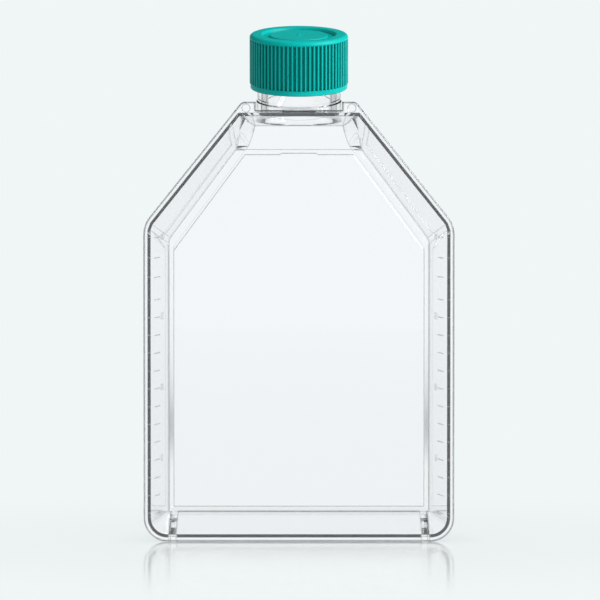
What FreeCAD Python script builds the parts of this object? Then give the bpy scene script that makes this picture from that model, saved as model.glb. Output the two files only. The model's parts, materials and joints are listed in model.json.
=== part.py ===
import FreeCAD, Part

import math
import os

from FreeCAD import Placement, Rotation, Vector

# Cell culture flask standing on its end. X runs across, Y from the lid to the culture plate, and Z up
# to the cap.
# Each outline is given by six corners, from the bottom left, anticlockwise as the lid is seen.

# Flange: the weld rim that the lid and the tray share
flange_width = 127.5
flange_height = 180.5
shoulder_height = 130.2    # where the straight sides end and the shoulders start
flange_ear_width = 5.7     # each side of the neck, up to the flange's upper corner
flange_thickness = 1.5
flange_reach = 1.4         # how far it stands out past the tray's walls
flange_top_reach = 4.4     # the same at the neck end, beside the neck
corner_radii = {"foot": 9.7, "shoulder": 12.0, "top": 2.5}
smallest_radius = 0.25

# Lid: a flat plate with a softened front edge, welded to the flange
lid_thickness = 1.5
lid_edge_chamfer = 0.4
weld_gap = 0.05

# Tray: a tapered box with the culture plate as its floor
wall = 1.5
side_draft = 10.1
end_draft = 6.6            # the neck end's wall
shoulder_draft = 10.7
shoulder_fall = 5.2        # how steeply the bend below each shoulder drops towards the culture plate
bend_radius = 3.6          # sets the width of the flat band between a side and its shoulder

# Ramp from the culture plate up to the neck, with a twisted facet at each side
ramp_foot_drop = 19.9      # below the flange's upper edge
ramp_rise = 3.2
facet_rise = 2.6
facet_climb = 0.6
facet_inset = 0.15         # from the chamber's upper corners, at the ramp
facet_top_inset = 1.9      # the same at the facets' front
facet_top_depth = 10.5     # how far behind the lid the facets reach along those corners

# Slanted strip between the walls and the culture plate
strip_width = 2.0
strip_shoulder_width = 3.2
strip_rise = 1.5

# Foot rim round the back of the culture plate, and the two ribs that the flask stands on
rim_width = 3.0
rim_shoulder_width = 5.1
rim_top_width = 2.3
rim_height = 1.0
rim_notch_width = 14.8     # shallow notch in the inner edge of its upper side
rim_notch_depth = 0.6
rib_width = 2.9
rib_centre = 52.05

# Locating pips on the flange's two upper corners
pip_radius = 1.7
pip_height = 0.8
pip_edge_gap = 0.9

# Neck, which leans towards the lid
neck_lean = 11.0
neck_radius = 17.2
neck_wall = 2.8            # round the bore, inside the cap
finish_step = 0.8          # how far the part inside the cap is set in, room for the thread
collar_step = 0.4          # how far the collar at the neck's foot stands out
collar_top = 4.0           # distances up the neck start where its axis crosses the notch
neck_sink = 0.2            # how far the collar's lowest edge goes into the neck end's wall
neck_back_gap = 2.1        # between the collar and the culture plate
rim_chamfer = 0.5
flare_width = 3.0          # of the flared mouth inside the chamber, round the bore
flare_angle = 45.0
flare_height = 5.5
notch_drop = 3.4           # how far the notch for the neck goes down into lid and flange
neck_clearance = 0.1

# Cap and its seal
cap_base = 9.3             # height of the cap's lower edge up the neck
cap_height = 22.7
cap_clearance = 1.5        # between the cap's bore and the neck inside it, filled by the thread
cap_wall = 1.6             # at the roots of the ribs
cap_ring_step = 0.5        # how far the plain ring at the foot stands out past the roots
cap_ring_height = 2.3
cap_rib_depth = 0.8
cap_rib_count = 70
rib_root_share = 0.7       # part of each pitch that the rib takes at its root, and at its crest
rib_crest_share = 0.3
rib_run_out = 0.9          # how far below the shoulder the core starts to widen into the ribs
cap_shoulder_step = 0.06   # how far the shoulder stands out past the ribs' crests
cap_shoulder_radius = 1.6
cap_chamfer = 0.35         # on the ring's lower edge and round the recess
cap_mouth_chamfer = 0.5
cap_top_thickness = 1.8
cap_rim_width = 5.1        # from the ribs' crests in to the recess
recess_depth = 1.4
recess_width = 3.4         # from the recess's edge in to the raised disc
recess_slope = 0.5         # how far the recess's and the disc's sides lean
disc_height = 0.9
seal_clearance = 0.6       # between the seal and the cap's bore
seal_thickness = 1.2

# Sizes and places that follow from those above
lean = math.radians(neck_lean)
collar_radius = neck_radius + collar_step
finish_radius = neck_radius - finish_step
bore_radius = finish_radius - neck_wall
flare_radius = bore_radius + flare_width
cap_bore_radius = finish_radius + cap_clearance
rib_root_radius = cap_bore_radius + cap_wall
rib_crest_radius = rib_root_radius + cap_rib_depth
cap_ring_radius = rib_root_radius + cap_ring_step
recess_radius = rib_crest_radius - cap_rim_width
disc_radius = recess_radius - recess_width
seal_radius = cap_bore_radius - seal_clearance
flange_top_width = 2 * (collar_radius + neck_clearance + flange_ear_width)
chamber_depth = 2 * collar_radius / math.cos(lean) + neck_back_gap
tray_front = lid_thickness + weld_gap
plate_inner = tray_front + chamber_depth
plate_outer = plate_inner + wall
back = plate_outer + rim_height
notch_height = flange_height - notch_drop
neck_setback = tray_front + neck_clearance + collar_radius / math.cos(lean)
neck_point = Vector(0, neck_setback, notch_height)
seal_base = cap_base + cap_height - recess_depth - cap_top_thickness - seal_thickness
drafts = {"side": side_draft, "end": end_draft, "shoulder": shoulder_draft, "bend": shoulder_fall}
slopes = {name: math.tan(math.radians(angle)) for name, angle in drafts.items()}
far = 3 * flange_height

# The neck's foot, just deep enough for the collar's back edge to sink into the neck end's sloping wall
collar_back = neck_setback + collar_radius * math.cos(lean)
wall_height = flange_height - flange_top_reach - (collar_back - tray_front) * slopes["end"]
edge_height = notch_height + collar_radius * math.sin(lean)
neck_foot = (wall_height - neck_sink - edge_height) / (math.cos(lean) - math.sin(lean) * slopes["end"])


def inset(corners, foot, side, shoulder, top):
    """The outline whose edges lie the given distances inside those of another."""
    distances = (foot, side, shoulder, top, shoulder, side)
    count = len(corners)
    lines = []
    for i, distance in enumerate(distances):
        along = (corners[(i + 1) % count] - corners[i]).normalize()
        inward = Vector(-along.z, 0, along.x)
        lines.append((corners[i] + inward * distance, along))
    moved = []
    for i in range(count):
        (p, u), (q, v) = lines[i - 1], lines[i]
        cross = u.x * v.z - u.z * v.x
        step = ((q.x - p.x) * v.z - (q.z - p.z) * v.x) / cross
        moved.append(p + u * step)
    return moved


def flange_corners():
    half, top_half = flange_width / 2, flange_top_width / 2
    right = [Vector(half, 0, 0), Vector(half, 0, shoulder_height), Vector(top_half, 0, flange_height)]
    left = [Vector(-p.x, 0, p.z) for p in reversed(right)]
    return [left[-1], *right, *left[:-1]]


def tray_corners(depth, shell=0.0):
    """The tray's outline at a depth behind the lid's back face, shell inside its outer surface."""
    edge = flange_reach + shell
    corners = inset(
        flange_corners(),
        foot=edge + depth * slopes["side"],
        side=edge + depth * slopes["side"],
        shoulder=edge + depth * slopes["shoulder"],
        top=flange_top_reach + shell + depth * slopes["end"],
    )
    for i in (2, 5):
        corners[i].z -= depth * slopes["bend"]
    return corners


def rounded(corners, radii, flats=()):
    """A closed wire whose corners are each rounded by a radius, cut flat if listed, or sharp at 0."""
    count = len(corners)
    arcs = []
    for i, radius in enumerate(radii):
        corner = corners[i]
        before = (corners[i - 1] - corner).normalize()
        after = (corners[(i + 1) % count] - corner).normalize()
        if not radius:
            arcs.append((corner, corner, corner))
            continue
        half_angle = before.getAngle(after) / 2
        reach = radius / math.tan(half_angle)
        middle = corner + (before + after).normalize() * (radius / math.sin(half_angle) - radius)
        arcs.append((corner + before * reach, middle, corner + after * reach))
    edges = []
    for i, (start, middle, end) in enumerate(arcs):
        if i in flats:
            edges.append(Part.LineSegment(start, end).toShape())
        elif radii[i]:
            edges.append(Part.Arc(start, middle, end).toShape())
        following = arcs[(i + 1) % count][0]
        if not end.isEqual(following, 1e-6):
            edges.append(Part.LineSegment(end, following).toShape())
    return Part.Wire(edges)


def plate(corners, shrink, y, thickness):
    """A plate at a depth, its corners rounded by the flange's radii less shrink."""
    names = ("foot", "foot", "shoulder", "top", "top", "shoulder")
    wire = rounded(corners, [max(corner_radii[name] - shrink, smallest_radius) for name in names])
    wire.translate(Vector(0, y, 0))
    return Part.Face(wire).extrude(Vector(0, thickness, 0))


def tray_section(depth, shell, strip=0.0, shoulder_strip=0.0):
    """The tray's outline at a depth. Its corners tighten towards the back, and its bends are cut flat."""
    corners = inset(tray_corners(depth, shell), strip, strip, shoulder_strip, strip)
    shrink = flange_reach + shell + depth * slopes["side"] + strip
    foot = max(corner_radii["foot"] - shrink, smallest_radius)
    bend = max(bend_radius + wall - shell - strip, smallest_radius)
    top = max(corner_radii["top"] - shrink, smallest_radius)
    wire = rounded(corners, [foot, foot, bend, top, top, bend], flats=(2, 5))
    wire.translate(Vector(0, tray_front + depth, 0))
    return wire


def tray_outside():
    return Part.makeLoft([tray_section(0.0, 0.0), tray_section(chamber_depth + wall, 0.0)], True, True)


def strip_insets():
    """How far the strip brings the chamber's walls in by the time it meets the culture plate."""
    return strip_width - strip_rise * slopes["side"], strip_shoulder_width - strip_rise * slopes["shoulder"]


def chamber():
    sections = [
        tray_section(0.0, wall),
        tray_section(chamber_depth - strip_rise, wall),
        tray_section(chamber_depth, wall, *strip_insets()),
    ]
    return Part.makeLoft(sections, True, True)


def beyond(p, q, r, outside, offset=0.0):
    """A big block with one face in the plane of three points, on the side where outside lies."""
    normal = (q - p).cross(r - p).normalize()
    if normal.dot(outside - p) < 0:
        normal = -normal
    block = Part.makeBox(far, far, far, Vector(-far / 2, -far / 2, offset))
    block.Placement = Placement(p, Rotation(Vector(0, 0, 1), normal))
    return block


def on_shoulder(corners, height):
    """Half the width of an outline at a height between its shoulder and its top."""
    low, high = corners[2], corners[3]
    return low.x + (high.x - low.x) * (height - low.z) / (high.z - low.z)


def ramp_corners():
    """The ramp's right foot and top corners, on the culture plate and on the neck end's wall."""
    strip, shoulder_strip = strip_insets()
    height = flange_height - ramp_foot_drop
    floor = inset(tray_corners(chamber_depth, wall), strip, strip, shoulder_strip, strip)
    half = on_shoulder(floor, height)
    foot = Vector(half, plate_inner, height)
    top = tray_corners(chamber_depth - ramp_rise, wall)[3]
    return foot, top + Vector(-facet_inset, plate_inner - ramp_rise, 0)


def mirrored(point):
    return Vector(-point.x, point.y, point.z)


def ramp_block(offset):
    """What the ramp takes off the back of the chamber, moved out by offset."""
    foot, top = ramp_corners()
    return beyond(foot, mirrored(foot), top, Vector(0, far, far), offset)


def facet_blocks(offset):
    """What the two twisted facets beside the ramp take off the chamber, moved out and up by offset."""
    foot, top = ramp_corners()
    height = foot.z + facet_climb
    half = on_shoulder(tray_corners(chamber_depth - facet_rise, wall), height)
    edge = Vector(half, plate_inner - facet_rise, height)
    corner = tray_corners(facet_top_depth, wall)[3]
    corner += Vector(-facet_top_inset, tray_front + facet_top_depth, 0)
    low_across, high_across = edge - foot, corner - top
    inner_along, outer_along = top - foot, corner - edge
    overlap = 2 * wall

    def moved(point, along, across, climb, reach):
        out = along.cross(across).normalize() * offset
        return point + out + Vector(along).normalize() * climb + Vector(across).normalize() * reach

    low = [
        moved(foot, inner_along, low_across, offset, -overlap),
        moved(edge, outer_along, low_across, offset, overlap),
    ]
    high = [
        moved(top, inner_along, high_across, inner_along.Length, -overlap),
        moved(corner, outer_along, high_across, inner_along.Length, overlap),
    ]
    away = (low[1] - low[0]).cross(Vector(0, 0, -1)).normalize() * back
    rings = [[*line, line[1] + away, line[0] + away, line[0]] for line in (low, high)]
    right = Part.makeLoft([Part.makePolygon(ring) for ring in rings], True, True)
    return [right, right.mirror(Vector(0, 0, 0), Vector(1, 0, 0))]


def carved(block, offset):
    for tool in [ramp_block(offset), *facet_blocks(offset)]:
        block = block.cut(tool)
    return block


def revolved(profile):
    """A solid of revolution about Z. A point is (radius, height), with a third number to round it."""
    corners = [Vector(point[0], 0, point[1]) for point in profile]
    radii = [point[2] if len(point) > 2 else 0 for point in profile]
    return Part.Face(rounded(corners, radii)).revolve(Vector(0, 0, 0), Vector(0, 0, 1), 360)


def on_neck(shape, height=0.0):
    """Put a shape made about Z onto the neck's axis, its base at a height up the neck."""
    turn = Rotation(Vector(1, 0, 0), neck_lean)
    shape.Placement = Placement(neck_point + turn.multVec(Vector(0, 0, height)), turn)
    return shape


def notch():
    """The gap in lid and flange that the neck passes through."""
    half = collar_radius + neck_clearance
    return Part.makeBox(2 * half, 2 * back, far, Vector(-half, -back, notch_height))


def lid():
    slab = plate(flange_corners(), 0.0, 0.0, lid_thickness).cut(notch())
    front = [edge for edge in slab.Edges if edge.BoundBox.YMax < lid_thickness / 10]
    return slab.makeChamfer(lid_edge_chamfer, front)


def flange():
    rim = plate(flange_corners(), 0.0, tray_front, flange_thickness).cut(notch())
    upper = flange_corners()[3]
    for side in (-1, 1):
        place = Vector(
            side * (upper.x - pip_radius),
            tray_front + flange_thickness,
            flange_height - pip_radius - pip_edge_gap,
        )
        rim = rim.fuse(Part.makeCylinder(pip_radius, pip_height, place, Vector(0, 1, 0)))
    return rim


def neck_outside():
    step = neck_radius - finish_radius
    step_height = cap_base + cap_mouth_chamfer
    return on_neck(revolved([
        (0, neck_foot),
        (collar_radius, neck_foot),
        (collar_radius, collar_top),
        (neck_radius, collar_top + collar_radius - neck_radius),
        (neck_radius, step_height),
        (finish_radius, step_height + step),
        (finish_radius, seal_base - rim_chamfer),
        (finish_radius - rim_chamfer, seal_base),
        (0, seal_base),
    ]))


def neck_bore():
    """The bore, with a flare square to the chamber's end wall where it opens into the chamber."""
    bore = on_neck(revolved([
        (0, neck_foot),
        (bore_radius, neck_foot),
        (bore_radius, seal_base - rim_chamfer),
        (bore_radius + rim_chamfer, seal_base),
        (bore_radius + rim_chamfer, seal_base + cap_height),
        (0, seal_base + cap_height),
    ]))
    wall_inner = flange_height - flange_top_reach - wall
    mouth = Vector(0, neck_setback, wall_inner - (neck_setback - tray_front) * slopes["end"])
    spread = flare_height * math.tan(math.radians(flare_angle))
    flare = revolved([
        (0, -wall / 5),
        (flare_radius, -wall / 5),
        (flare_radius, 0),
        (flare_radius - spread, flare_height),
        (0, flare_height),
    ])
    flare.Placement = Placement(mouth, Rotation(Vector(1, 0, 0), -end_draft))
    return bore.fuse(flare)


def foot_rim():
    """The low rim round the culture plate's back, notched in the middle of its upper side."""
    corners = tray_corners(chamber_depth + wall)
    foot, ramp_top = ramp_corners()
    ramp_length = ramp_top.z - foot.z
    top = foot.z + wall * (math.hypot(ramp_length, ramp_rise) - ramp_length) / ramp_rise
    outer = inset(corners, 0, 0, 0, corners[3].z - top)
    inner = inset(outer, rim_width, rim_width, rim_shoulder_width, rim_top_width)
    shrink = flange_reach + (chamber_depth + wall) * slopes["side"]
    ring = plate(outer, shrink, plate_outer, rim_height)
    ring = ring.cut(plate(inner, shrink + rim_width, plate_outer, rim_height))
    half, low = rim_notch_width / 2, top - rim_top_width
    notched = Part.makePolygon([
        Vector(-half - 2 * rim_notch_depth, plate_outer, low - rim_notch_depth),
        Vector(half + 2 * rim_notch_depth, plate_outer, low - rim_notch_depth),
        Vector(half, plate_outer, low + rim_notch_depth),
        Vector(-half, plate_outer, low + rim_notch_depth),
        Vector(-half - 2 * rim_notch_depth, plate_outer, low - rim_notch_depth),
    ])
    ring = ring.cut(Part.Face(notched).extrude(Vector(0, rim_height, 0)))
    for facet in facet_blocks(wall):
        ring = ring.cut(facet)
    return ring


def standing_ribs():
    """Two ribs that carry the tapered end down to the level of the flange's lower edge."""
    rise = tray_corners(chamber_depth + wall)[0].z
    length = back - tray_front - flange_thickness
    low_y = tray_front + flange_thickness
    return [
        Part.makeBox(rib_width, length, rise, Vector(side * rib_centre - rib_width / 2, low_y, 0))
        for side in (-1, 1)
    ]


def vessel():
    body = carved(tray_outside(), wall)
    body = body.multiFuse([flange(), neck_outside(), foot_rim(), *standing_ribs()])
    return body.cut(carved(chamber(), 0.0)).cut(neck_bore()).removeSplitter()


def cap_rib_band(low, high):
    """The ribbed part of the skirt, its ribs narrower at the crest than at the root."""
    points = []
    for i in range(cap_rib_count):
        for radius, share in (
            (rib_root_radius, -rib_root_share),
            (rib_crest_radius, -rib_crest_share),
            (rib_crest_radius, rib_crest_share),
            (rib_root_radius, rib_root_share),
        ):
            turn = 2 * math.pi * (i + share / 2) / cap_rib_count
            points.append(Vector(radius * math.cos(turn), radius * math.sin(turn), low))
    return Part.Face(Part.makePolygon([*points, points[0]])).extrude(Vector(0, 0, high - low))


def cap():
    top = cap_height
    disc_top = top - recess_depth + disc_height
    ribs_top = top - cap_shoulder_radius
    inside_ribs = rib_root_radius - cap_rib_depth
    shoulder_radius = rib_crest_radius + cap_shoulder_step
    core = revolved([
        (0, 0),
        (cap_ring_radius - cap_chamfer, 0),
        (cap_ring_radius, cap_chamfer),
        (cap_ring_radius, cap_ring_height),
        (inside_ribs, cap_ring_height),
        (inside_ribs, ribs_top - 2 * rib_run_out),
        (shoulder_radius, ribs_top),
        (shoulder_radius, top, cap_shoulder_radius),
        (recess_radius + cap_chamfer, top),
        (recess_radius, top - cap_chamfer),
        (recess_radius - recess_slope, top - recess_depth),
        (disc_radius + recess_slope, top - recess_depth),
        (disc_radius, disc_top),
        (0, disc_top),
    ])
    band = cap_rib_band(cap_ring_height, ribs_top)
    ceiling = top - recess_depth - cap_top_thickness
    hollow = revolved([
        (0, 0),
        (cap_bore_radius + cap_mouth_chamfer, 0),
        (cap_bore_radius, cap_mouth_chamfer),
        (cap_bore_radius, ceiling),
        (0, ceiling),
    ])
    return on_neck(core.fuse(band).cut(hollow).removeSplitter(), cap_base)


def seal():
    return on_neck(Part.makeCylinder(seal_radius, seal_thickness), seal_base)


def main():
    nodes = {
        "vessel_body": vessel(),
        "top_plate": lid(),
        "screw_cap": cap(),
        "cap_seal": seal(),
    }
    box = Part.makeCompound(list(nodes.values())).optimalBoundingBox()
    centre = Vector(-(box.XMin + box.XMax) / 2, -(box.YMin + box.YMax) / 2, -box.ZMin)
    os.makedirs("parts", exist_ok=True)
    for name, shape in nodes.items():
        placed = shape.copy()
        placed.translate(centre)
        solids = placed.Solids
        print(name, len(solids), placed.isValid(), round(placed.Volume, 1), placed.BoundBox)
        placed.exportStep(f"parts/{name}.step")
    print("shift", centre)


main()
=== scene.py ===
import json
import math

import bmesh
import bpy
from mathutils import Matrix, Vector


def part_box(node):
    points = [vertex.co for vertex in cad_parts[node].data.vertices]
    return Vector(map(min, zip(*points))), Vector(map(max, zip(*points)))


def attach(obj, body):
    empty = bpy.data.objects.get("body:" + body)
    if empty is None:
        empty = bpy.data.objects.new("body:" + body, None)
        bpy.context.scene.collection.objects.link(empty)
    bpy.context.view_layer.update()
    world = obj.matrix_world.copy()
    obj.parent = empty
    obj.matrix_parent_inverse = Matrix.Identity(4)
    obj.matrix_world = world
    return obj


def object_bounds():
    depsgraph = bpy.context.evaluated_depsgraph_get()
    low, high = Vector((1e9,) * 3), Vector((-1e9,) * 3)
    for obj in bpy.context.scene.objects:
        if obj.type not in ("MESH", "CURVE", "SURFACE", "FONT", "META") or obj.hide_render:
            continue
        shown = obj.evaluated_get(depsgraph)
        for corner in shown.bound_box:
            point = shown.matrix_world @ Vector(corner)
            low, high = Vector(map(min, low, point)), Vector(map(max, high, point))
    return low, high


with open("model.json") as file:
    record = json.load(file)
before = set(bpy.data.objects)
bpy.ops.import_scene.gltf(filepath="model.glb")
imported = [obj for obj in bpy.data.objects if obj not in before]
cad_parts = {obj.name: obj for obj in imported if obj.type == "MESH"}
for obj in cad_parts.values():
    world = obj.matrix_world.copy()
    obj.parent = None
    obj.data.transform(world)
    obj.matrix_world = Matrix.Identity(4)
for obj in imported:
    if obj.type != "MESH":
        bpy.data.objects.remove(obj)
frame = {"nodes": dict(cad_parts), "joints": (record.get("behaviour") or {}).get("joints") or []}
cadLow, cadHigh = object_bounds()
print("frame loaded:", sorted(frame["nodes"]))

mm = 0.001
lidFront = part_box("top_plate")[0].y
capTurn = next(joint for joint in frame["joints"] if joint["name"] == "cap_turn")
neckPoint = Vector(capTurn["pos_m"])
neckAxis = Vector(capTurn["axis"])
neckTurn = Vector((0, 0, 1)).rotation_difference(neckAxis).to_matrix().to_4x4()
neckPlace = Matrix.Translation(neckPoint) @ neckTurn
mergeReach = 0.001 * mm
shading = {"edgeSamples": 6, "openSamples": 8, "noiseSpan": (0.3, 0.7)}


class Nodes:  # short calls for building the node tree of a material or a world
    def __init__(self, owner):
        owner.use_nodes = True
        self.tree = owner.node_tree
        self.tree.nodes.clear()

    def add(self, kind, sockets=(), **settings):
        node = self.tree.nodes.new("ShaderNode" + kind)
        for key, value in settings.items():
            setattr(node, key, value)
        for key, value in dict(sockets).items():
            if isinstance(value, bpy.types.NodeSocket):
                self.tree.links.new(value, node.inputs[key])
            else:
                node.inputs[key].default_value = value
        return node

    def maths(self, operation, first, second=0.0):
        return self.add("Math", {0: first, 1: second}, operation=operation).outputs["Value"]

    def fade(self, value, start, end, low=0.0, high=1.0, kind="SMOOTHSTEP"):
        sockets = {"Value": value, "From Min": start, "From Max": end, "To Min": low, "To Max": high}
        return self.add("MapRange", sockets, interpolation_type=kind).outputs["Result"]

    def noise(self, scale, detail=2.0):
        place = self.add("TexCoord").outputs["Object"]
        return self.add("TexNoise", {"Vector": place, "Scale": scale, "Detail": detail}).outputs["Fac"]

    def spread(self, noise, low, high):  # takes a noise from one value to another
        return self.fade(noise, *shading["noiseSpan"], low, high, "LINEAR")

    def between(self, amount, first, second):
        ramp = self.add("ValToRGB", {"Fac": amount})
        ramp.color_ramp.elements[0].color = (*first, 1.0)
        ramp.color_ramp.elements[1].color = (*second, 1.0)
        return ramp.outputs["Color"]

    def openness(self, reach, **settings):  # 1 in the open, less in a hollow
        settings["samples"] = shading["openSamples"]
        return self.add("AmbientOcclusion", {"Distance": reach}, **settings).outputs["AO"]

    def softEdge(self, radius):
        return self.add("Bevel", {"Radius": radius}, samples=shading["edgeSamples"]).outputs["Normal"]

    def bumped(self, height, strength, depth, edge):
        sockets = {"Height": height, "Strength": strength, "Distance": depth, "Normal": edge}
        return self.add("Bump", sockets).outputs["Normal"]


def newMaterial(name):
    material = bpy.data.materials.new(name)
    return material, Nodes(material)


def newPiece(name, form, material, body):
    bmesh.ops.remove_doubles(form, verts=form.verts, dist=mergeReach)
    bmesh.ops.recalc_face_normals(form, faces=form.faces)
    mesh = bpy.data.meshes.new(name)
    form.to_mesh(mesh)
    form.free()
    piece = bpy.data.objects.new(name, mesh)
    bpy.context.scene.collection.objects.link(piece)
    mesh.materials.append(material)
    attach(piece, body)
    print("piece", name, len(mesh.polygons), "faces")
    return piece


# Clear polystyrene, slightly rippled as moulded sheet is, with softened edges; painted shade darkens it
# where it is seen edge-on and along creases
clearFinish = {
    "tint": (0.985, 0.99, 0.992),
    # the colour for surfaces seen edge-on is painted shade
    "grazingShadeColour": (0.78, 0.765, 0.765),
    "paintedGrazingShade": (0.5, 0.95),
    "paintedCreaseShade": (0.95, 0.9995),
    "creaseShade": 0.01,
    "ior": 1.59,
    "roughness": (0.0, 0.03),
    "rippleSpan": (0.3, 0.8),
    "rippleScale": 45.0,
    "rippleStrength": 0.05,
    "rippleDepth": 0.4 * mm,
    "vesselEdge": 0.4 * mm,
    "lidEdge": 1.0 * mm,
    "shadowTint": (0.93, 0.95, 0.95, 1.0),
}


def clearPlastic(name, edgeRadius):
    material, n = newMaterial(name)
    ripple = n.noise(clearFinish["rippleScale"])
    # painted shade: the colour darkens where the surface is seen edge-on
    paintedGrazingShade = n.fade(n.add("LayerWeight").outputs["Facing"], *clearFinish["paintedGrazingShade"])
    tint = n.between(paintedGrazingShade, clearFinish["tint"], clearFinish["grazingShadeColour"])
    # painted shade: creases are darkened into thin lines, by how far the softened edge normal bends away
    # from the face
    edge = n.softEdge(edgeRadius)
    face = n.add("NewGeometry").outputs["Normal"]
    bend = n.add("VectorMath", {0: edge, 1: face}, operation="DOT_PRODUCT").outputs["Value"]
    paintedCreaseShade = n.fade(bend, *clearFinish["paintedCreaseShade"], clearFinish["creaseShade"], 1.0, "LINEAR")
    look = n.add("BsdfPrincipled", {
        "Base Color": n.add("VectorMath", {0: tint, "Scale": paintedCreaseShade}, operation="SCALE").outputs["Vector"],
        "Transmission Weight": 1.0,
        "IOR": clearFinish["ior"],
        "Roughness": n.fade(ripple, *clearFinish["rippleSpan"], *clearFinish["roughness"], "LINEAR"),
        "Normal": n.bumped(ripple, clearFinish["rippleStrength"], clearFinish["rippleDepth"], edge),
    })
    through = n.add("BsdfTransparent", {"Color": clearFinish["shadowTint"]})
    shadow = n.add("LightPath").outputs["Is Shadow Ray"]
    mix = n.add("MixShader", {0: shadow, 1: look.outputs["BSDF"], 2: through.outputs["BSDF"]})
    n.add("OutputMaterial", {"Surface": mix.outputs["Shader"]})
    return material


# Teal polyethylene for the cap, with painted shade darkening its hollows
tealFinish = {
    # light is the colour in the open; deep is painted shade for the hollows
    "light": (0.0, 0.44, 0.40),
    "deep": (0.0, 0.05, 0.046),
    "hollowReach": 1.4 * mm,
    "hollow": (0.3, 0.95),
    "ior": 1.2,
    "mottle": (0.9, 1.0),
    "mottleScale": 70.0,
    "mottleDetail": 4.0,
    "grainScale": 1400.0,
    "grainDetail": 3.0,
    "roughness": (0.26, 0.40),
    "grainStrength": 0.12,
    "grainDepth": 0.05 * mm,
    "edgeRadius": 0.22 * mm,
}


def tealPlastic():
    material, n = newMaterial("tealPolyethylene")
    grain = n.noise(tealFinish["grainScale"], tealFinish["grainDetail"])
    openness = n.openness(tealFinish["hollowReach"], only_local=True)
    # painted shade: ambient occlusion darkens the colour towards deep in the valleys between ribs and in
    # the top recess, mixed with a random mottle
    crest = n.fade(openness, *tealFinish["hollow"], kind="LINEAR")
    mottle = n.spread(n.noise(tealFinish["mottleScale"], tealFinish["mottleDetail"]), *tealFinish["mottle"])
    hollowShadeAndMottle = n.maths("MULTIPLY", crest, mottle)
    edge = n.softEdge(tealFinish["edgeRadius"])
    look = n.add("BsdfPrincipled", {
        "Base Color": n.between(hollowShadeAndMottle, tealFinish["deep"], tealFinish["light"]),
        "IOR": tealFinish["ior"],
        "Roughness": n.spread(grain, *tealFinish["roughness"]),
        "Normal": n.bumped(grain, tealFinish["grainStrength"], tealFinish["grainDepth"], edge),
    })
    n.add("OutputMaterial", {"Surface": look.outputs["BSDF"]})
    return material


# White foamed liner inside the cap
sealFinish = {
    "light": (0.86, 0.86, 0.84),
    "deep": (0.78, 0.78, 0.76),
    "cellScale": 2200.0,
    "cellDetail": 3.0,
    "roughness": (0.45, 0.65),
    "cellStrength": 0.3,
    "cellDepth": 0.04 * mm,
    "edgeRadius": 0.2 * mm,
}


def whiteLiner():
    material, n = newMaterial("whiteLiner")
    cells = n.noise(sealFinish["cellScale"], sealFinish["cellDetail"])
    edge = n.softEdge(sealFinish["edgeRadius"])
    look = n.add("BsdfPrincipled", {
        "Base Color": n.between(cells, sealFinish["deep"], sealFinish["light"]),
        "Roughness": n.spread(cells, *sealFinish["roughness"]),
        "Normal": n.bumped(cells, sealFinish["cellStrength"], sealFinish["cellDepth"], edge),
    })
    n.add("OutputMaterial", {"Surface": look.outputs["BSDF"]})
    return material


# Frosted plastic of the raised graduation marks
markFinish = {
    "tint": (0.78, 0.79, 0.80, 1.0),
    "ior": 1.59,
    "roughness": (0.45, 0.7),
    "grainScale": 3000.0,
    "grainStrength": 0.3,
    "grainDepth": 0.02 * mm,
    "edgeRadius": 0.1 * mm,
}


def frostedPlastic():
    material, n = newMaterial("frostedPolystyrene")
    grain = n.noise(markFinish["grainScale"])
    edge = n.softEdge(markFinish["edgeRadius"])
    look = n.add("BsdfPrincipled", {
        "Base Color": markFinish["tint"],
        "Transmission Weight": 1.0,
        "IOR": markFinish["ior"],
        "Roughness": n.spread(grain, *markFinish["roughness"]),
        "Normal": n.bumped(grain, markFinish["grainStrength"], markFinish["grainDepth"], edge),
    })
    n.add("OutputMaterial", {"Surface": look.outputs["BSDF"]})
    return material


# Screw threads, right-handed with one start, heights along the neck
thread = {
    "lead": 5.0 * mm,
    "turns": 1.75,
    "steps": 126,
    "foot": 1.9 * mm,
    "crest": 0.8 * mm,
    "taper": 0.2,
    "leastRise": 0.02,
}
neckThread = {"start": 14.0 * mm, "root": 16.35 * mm, "crest": 17.45 * mm}
capThread = {"start": 16.5 * mm, "root": 17.95 * mm, "crest": 16.85 * mm}


def makeThread(name, ridge, material, body):
    form = bmesh.new()
    outline = [
        (ridge["root"], -thread["foot"] / 2),
        (ridge["crest"], -thread["crest"] / 2),
        (ridge["crest"], thread["crest"] / 2),
        (ridge["root"], thread["foot"] / 2),
    ]
    corners = [form.verts.new((radius, 0, ridge["start"] + height)) for radius, height in outline]
    profile = form.faces.new(corners)
    bmesh.ops.spin(
        form,
        geom=[profile],
        cent=(0, 0, 0),
        axis=(0, 0, 1),
        dvec=(0, 0, thread["lead"] * thread["turns"] / thread["steps"]),
        angle=2 * math.pi * thread["turns"],
        steps=thread["steps"],
    )
    for vert in form.verts:  # both ends run out into the wall
        angle = math.atan2(vert.co.y, vert.co.x) / (2 * math.pi)
        turn = angle + round((vert.co.z - ridge["start"]) / thread["lead"] - angle)
        share = min(max(min(turn, thread["turns"] - turn) / thread["taper"], thread["leastRise"]), 1.0)
        radius = vert.co.xy.length
        scale = (ridge["root"] + (radius - ridge["root"]) * share) / radius
        vert.co.xy = vert.co.xy * scale
    bmesh.ops.transform(form, matrix=neckPlace, verts=form.verts)
    return newPiece(name, form, material, body)


# Graduations: raised lines on the outsides of the two drafted side walls, with small numerals
graduation = {
    "draft": math.radians(10.1),
    "wallAcross": 62.35 * mm,
    "wallDepth": 1.55 * mm,
    "start": 9.4 * mm,
    "length": 11.5 * mm,
    "thickness": 0.5 * mm,
    "rise": 0.12 * mm,
    "heights": [10.6 * mm + 7.36 * mm * i for i in range(13)] + [108.2 * mm, 116.2 * mm, 124.6 * mm],
    "numeralEvery": 4,
    "numeralStep": 50,
    "numeralSize": 4.2 * mm,
    "numeralGap": 1.5 * mm,
    "numeralCurve": 3,
}


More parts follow.
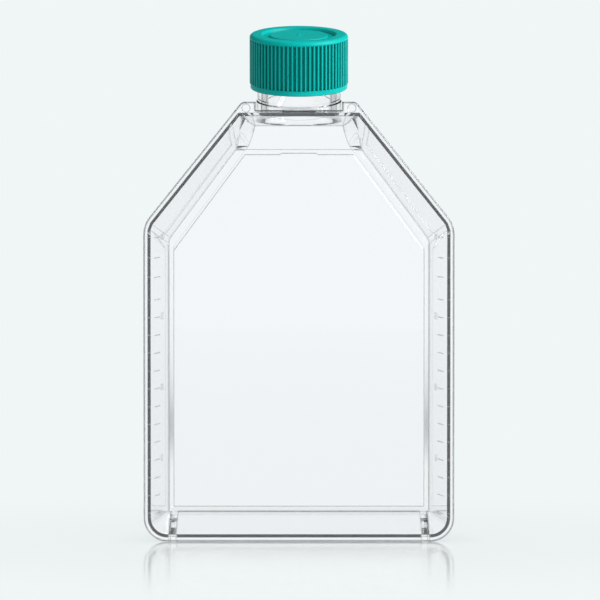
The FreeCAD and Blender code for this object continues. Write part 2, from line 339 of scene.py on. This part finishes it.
def numeralForm(text):
    data = bpy.data.curves.new("numeral", "FONT")
    data.body = text
    data.size = graduation["numeralSize"]
    data.extrude = graduation["rise"] / 2
    data.align_y = "CENTER"
    data.resolution_u = graduation["numeralCurve"]
    holder = bpy.data.objects.new("numeral", data)
    bpy.context.scene.collection.objects.link(holder)
    bpy.context.view_layer.update()
    drawn = holder.evaluated_get(bpy.context.evaluated_depsgraph_get())
    mesh = bpy.data.meshes.new_from_object(drawn)
    bpy.data.objects.remove(holder)
    bpy.data.curves.remove(data)
    return mesh


def makeGraduations(side, name, material):
    form = bmesh.new()
    size = (graduation["length"], graduation["thickness"], graduation["rise"])
    reach = graduation["start"] + graduation["length"] / 2
    for i, height in enumerate(graduation["heights"]):
        bar = bmesh.ops.create_cube(form, size=1.0)["verts"]
        bmesh.ops.scale(form, verts=bar, vec=size)
        bmesh.ops.translate(form, verts=bar, vec=(side * reach, height, 0))
        if i % graduation["numeralEvery"] == graduation["numeralEvery"] - 1:
            first = len(form.verts)
            number = (i + 1) // graduation["numeralEvery"] * graduation["numeralStep"]
            mesh = numeralForm(str(number))
            form.from_mesh(mesh)
            bpy.data.meshes.remove(mesh)
            form.verts.ensure_lookup_table()
            fresh = form.verts[first:]
            ends = [vert.co.x for vert in fresh]
            near = min(ends) if side > 0 else max(ends)
            start = graduation["start"] + graduation["length"] + graduation["numeralGap"]
            bmesh.ops.translate(form, verts=fresh, vec=(side * start - near, height, 0))
    # lay the drawing on the wall: its x runs back along the wall, its y up, its face outwards
    across = Vector((-math.sin(graduation["draft"]), side * math.cos(graduation["draft"]), 0))
    up = Vector((0, 0, 1))
    flat = Matrix((across, up, across.cross(up))).transposed().to_4x4()
    corner = Vector((side * graduation["wallAcross"], lidFront + graduation["wallDepth"], 0))
    bmesh.ops.transform(form, matrix=Matrix.Translation(corner) @ flat, verts=form.verts)
    return newPiece(name, form, material, "flask")


# Gate mark in the middle of the cap's raised disc
gateMark = {"height": 31.65 * mm, "radius": 0.9 * mm, "tip": 0.6 * mm, "rise": 0.3 * mm, "segments": 24}


def makeGateMark(material):
    form = bmesh.new()
    bmesh.ops.create_cone(
        form,
        cap_ends=True,
        segments=gateMark["segments"],
        radius1=gateMark["radius"],
        radius2=gateMark["tip"],
        depth=gateMark["rise"],
    )
    bmesh.ops.translate(form, verts=form.verts, vec=(0, 0, gateMark["height"]))
    bmesh.ops.transform(form, matrix=neckPlace, verts=form.verts)
    return newPiece("gate_mark", form, material, "cap")


# Studio: four pale walls, corners between them edged by dark strips, under a dark ceiling
studio = {
    "backdrop": (0.871, 0.922, 0.922),
    "throughPlastic": (0.92, 0.945, 0.96),
    "skyLight": 0.5,
    "dark": 0.06,
    "corners": (0.44, 0.5),
    "cornerGlow": (0.52, 0.57),
    "glow": 0.6,
    "ceiling": (0.45, 0.6),
    "shineCeiling": (0.1, 0.24),
}
floorLook = {
    "size": 4.0,
    "drop": 0.1 * mm,
    "pale": (0.4, 0.9),
    "shadeReach": (0.2, 3.0),
    "shade": 0.96,
    "shine": 0.75,
    "shineReach": (0.04, 0.27),
    "shineFacing": (0.72, 0.94),
    "shineTint": (1.0, 1.0, 1.0, 1.0),
    "shineRoughness": 0.12,
    "contactReach": 0.02,
    "contactShade": 0.6,
    "dull": (0.8, 0.84, 0.84, 1.0),
}


def studioLevel(n, direction):  # how bright the studio is in a direction
    flat = n.add("VectorMath", {0: direction, 1: (1, 1, 0)}, operation="MULTIPLY").outputs["Vector"]
    across = n.add("VectorMath", {0: flat}, operation="NORMALIZE").outputs["Vector"]
    parts = n.add("SeparateXYZ", {"Vector": across}).outputs
    off = n.maths("MINIMUM", n.maths("ABSOLUTE", parts["X"]), n.maths("ABSOLUTE", parts["Y"]))
    glow = n.fade(off, *studio["cornerGlow"], 1.0, 1.0 - studio["glow"])
    corner = n.maths("MULTIPLY", n.fade(off, *studio["corners"]), glow)
    unit = n.add("VectorMath", {0: direction}, operation="NORMALIZE").outputs["Vector"]
    height = n.add("SeparateXYZ", {"Vector": unit}).outputs["Z"]
    ceiling = n.add("Mix", {
        "Factor": n.add("LightPath").outputs["Is Transmission Ray"],
        "A": n.fade(height, *studio["shineCeiling"]),
        "B": n.fade(height, *studio["ceiling"]),
    }, data_type="FLOAT").outputs["Result"]
    return n.fade(n.maths("MAXIMUM", corner, ceiling), 0.0, 1.0, 1.0, studio["dark"], "LINEAR")


def studioColour(n, level):  # the backdrop as it is, and the lights behind it through the plastic
    path = n.add("LightPath").outputs
    tint = n.between(path["Is Transmission Ray"], studio["backdrop"], studio["throughPlastic"])
    return n.add("VectorMath", {0: tint, "Scale": level}, operation="SCALE").outputs["Vector"]


def makeFloor():
    material, n = newMaterial("floor")
    path = n.add("LightPath").outputs
    place = n.add("TexCoord").outputs["Object"]
    far = n.add("VectorMath", {0: place}, operation="LENGTH").outputs["Value"]
    shade = n.fade(far, *floorLook["shadeReach"], floorLook["shade"], 1.0)
    remote = n.fade(far, *floorLook["pale"])
    around = n.add("Mix", {"Factor": remote, "A": 1.0, "B": studioLevel(n, place)}, data_type="FLOAT")
    hidden = n.maths("MULTIPLY", around.outputs["Result"], shade)
    openness = n.openness(floorLook["contactReach"])
    contact = n.fade(openness, 0.0, 1.0, floorLook["contactShade"], 1.0, "LINEAR")
    seen = path["Is Camera Ray"]
    level = n.add("Mix", {"Factor": seen, "A": hidden, "B": contact}, data_type="FLOAT").outputs["Result"]
    glow = n.add("Emission", {"Color": studioColour(n, level)}).outputs["Emission"]
    shine = n.add("BsdfGlossy", {
        "Color": floorLook["shineTint"],
        "Roughness": floorLook["shineRoughness"],
    }).outputs["BSDF"]
    shineShare = n.fade(far, *floorLook["shineReach"], floorLook["shine"], 0.0)
    slant = n.fade(n.add("LayerWeight").outputs["Facing"], *floorLook["shineFacing"])
    share = n.maths("MULTIPLY", n.maths("MULTIPLY", shineShare, slant), seen)
    bright = n.add("MixShader", {0: share, 1: glow, 2: shine}).outputs["Shader"]
    lit = n.maths("MAXIMUM", path["Is Glossy Ray"], path["Is Transmission Ray"])
    dull = n.add("BsdfDiffuse", {"Color": floorLook["dull"]}).outputs["BSDF"]
    mix = n.add("MixShader", {0: n.maths("MAXIMUM", lit, seen), 1: dull, 2: bright})
    n.add("OutputMaterial", {"Surface": mix.outputs["Shader"]})
    form = bmesh.new()
    bmesh.ops.create_grid(form, x_segments=2, y_segments=2, size=floorLook["size"] / 2)
    bmesh.ops.translate(form, verts=form.verts, vec=(0, 0, -floorLook["drop"]))
    mesh = bpy.data.meshes.new("floor")
    form.to_mesh(mesh)
    form.free()
    mesh.materials.append(material)
    floor = bpy.data.objects.new("floor", mesh)
    bpy.context.scene.collection.objects.link(floor)
    print("floor made")


def makeWorld():
    world = bpy.data.worlds.new("studio")
    bpy.context.scene.world = world
    n = Nodes(world)
    path = n.add("LightPath").outputs
    level = studioLevel(n, n.add("TexCoord").outputs["Generated"])
    lit = n.maths("MAXIMUM", path["Is Glossy Ray"], path["Is Transmission Ray"])
    other = n.fade(path["Is Camera Ray"], 0.0, 1.0, studio["skyLight"], 1.0, "LINEAR")
    pick = n.add("Mix", {"Factor": lit, "A": other, "B": level}, data_type="FLOAT").outputs["Result"]
    sky = n.add("Background", {"Color": studioColour(n, pick)})
    n.add("OutputWorld", {"Surface": sky.outputs["Background"]})
    print("world made")


lamps = {
    "key": {"place": (0.75, -0.35, 0.7), "size": (0.8, 0.8), "power": 14.0},
}
lampAim = Vector((0, 0, 0.8 * cadHigh.z))  # a little under the cap


def makeLamps():
    for name, lamp in lamps.items():
        data = bpy.data.lights.new(name, "AREA")
        data.shape = "RECTANGLE"
        data.size, data.size_y = lamp["size"]
        data.energy = lamp["power"]
        light = bpy.data.objects.new(name, data)
        light.location = lamp["place"]
        light.rotation_euler = (lampAim - light.location).to_track_quat("-Z", "Y").to_euler()
        bpy.context.scene.collection.objects.link(light)
    print("lamps made:", len(lamps))


camera = {
    "distance": 2.0,
    "eyeHeight": 0.1742,
    "aimHeight": 0.0993,
    "aimAcross": 0.00045,
    "lens": 293.0,
    "sensor": 36.0,
    "farthest": 50.0,
}


def makeCamera():
    data = bpy.data.cameras.new("camera")
    data.lens = camera["lens"]
    data.sensor_width = camera["sensor"]
    data.clip_end = camera["farthest"]
    eye = bpy.data.objects.new("camera", data)
    eye.location = (camera["aimAcross"], lidFront - camera["distance"], camera["eyeHeight"])
    aim = Vector((camera["aimAcross"], lidFront, camera["aimHeight"]))
    eye.rotation_euler = (aim - eye.location).to_track_quat("-Z", "Y").to_euler()
    bpy.context.scene.collection.objects.link(eye)
    bpy.context.scene.camera = eye
    bpy.context.scene.view_settings.view_transform = "Standard"
    print("camera set")


clear = clearPlastic("clearPolystyrene", clearFinish["vesselEdge"])
clearLid = clearPlastic("clearLid", clearFinish["lidEdge"])
teal = tealPlastic()
liner = whiteLiner()
nodeMaterials = {"vessel_body": clear, "top_plate": clearLid, "screw_cap": teal, "cap_seal": liner}
for node, material in nodeMaterials.items():
    for slot in frame["nodes"][node].material_slots:
        slot.material = material
print("materials made")

makeThread("neck_thread", neckThread, clear, "flask")
makeThread("cap_thread", capThread, teal, "cap")
frosted = frostedPlastic()
makeGraduations(-1, "graduations_left", frosted)
makeGraduations(1, "graduations_right", frosted)
makeGateMark(teal)

makeFloor()
makeWorld()
makeLamps()
makeCamera()
